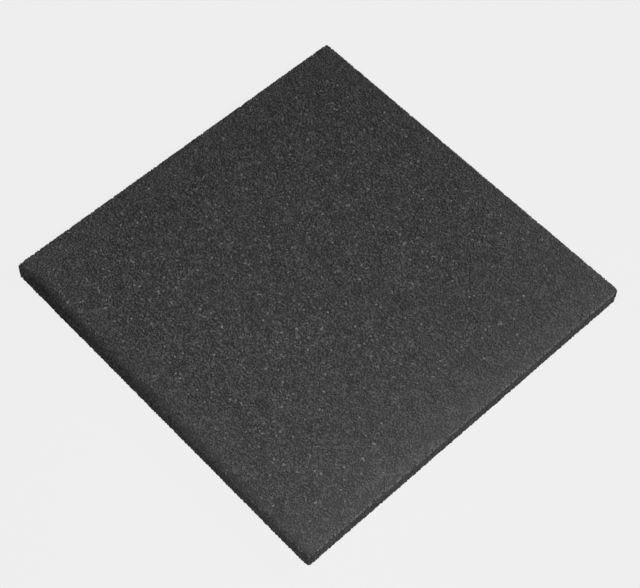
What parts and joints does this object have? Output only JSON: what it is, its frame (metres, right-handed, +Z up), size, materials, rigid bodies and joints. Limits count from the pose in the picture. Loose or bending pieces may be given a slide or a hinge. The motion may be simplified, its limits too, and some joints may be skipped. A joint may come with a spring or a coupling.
{
  "type": "rubber safety tile",
  "caption": "Flat square floor tile of pressed black rubber granules with rounded upper edges, laid edge to edge as a shock-absorbing surface.",
  "frame": {"origin": "centre of the flat underside, where the tile rests", "axes": "+Z up through the thickness, from the underside to the tread; X and Y along the tile's sides"},
  "size_m": [0.5, 0.5, 0.025],
  "materials": {
    "granulated_rubber": "matte, rough granular surface with lighter specks"
  },
  "bodies": {
    "root": {"rubber_tile": "granulated_rubber"}
  },
  "joints": []
}
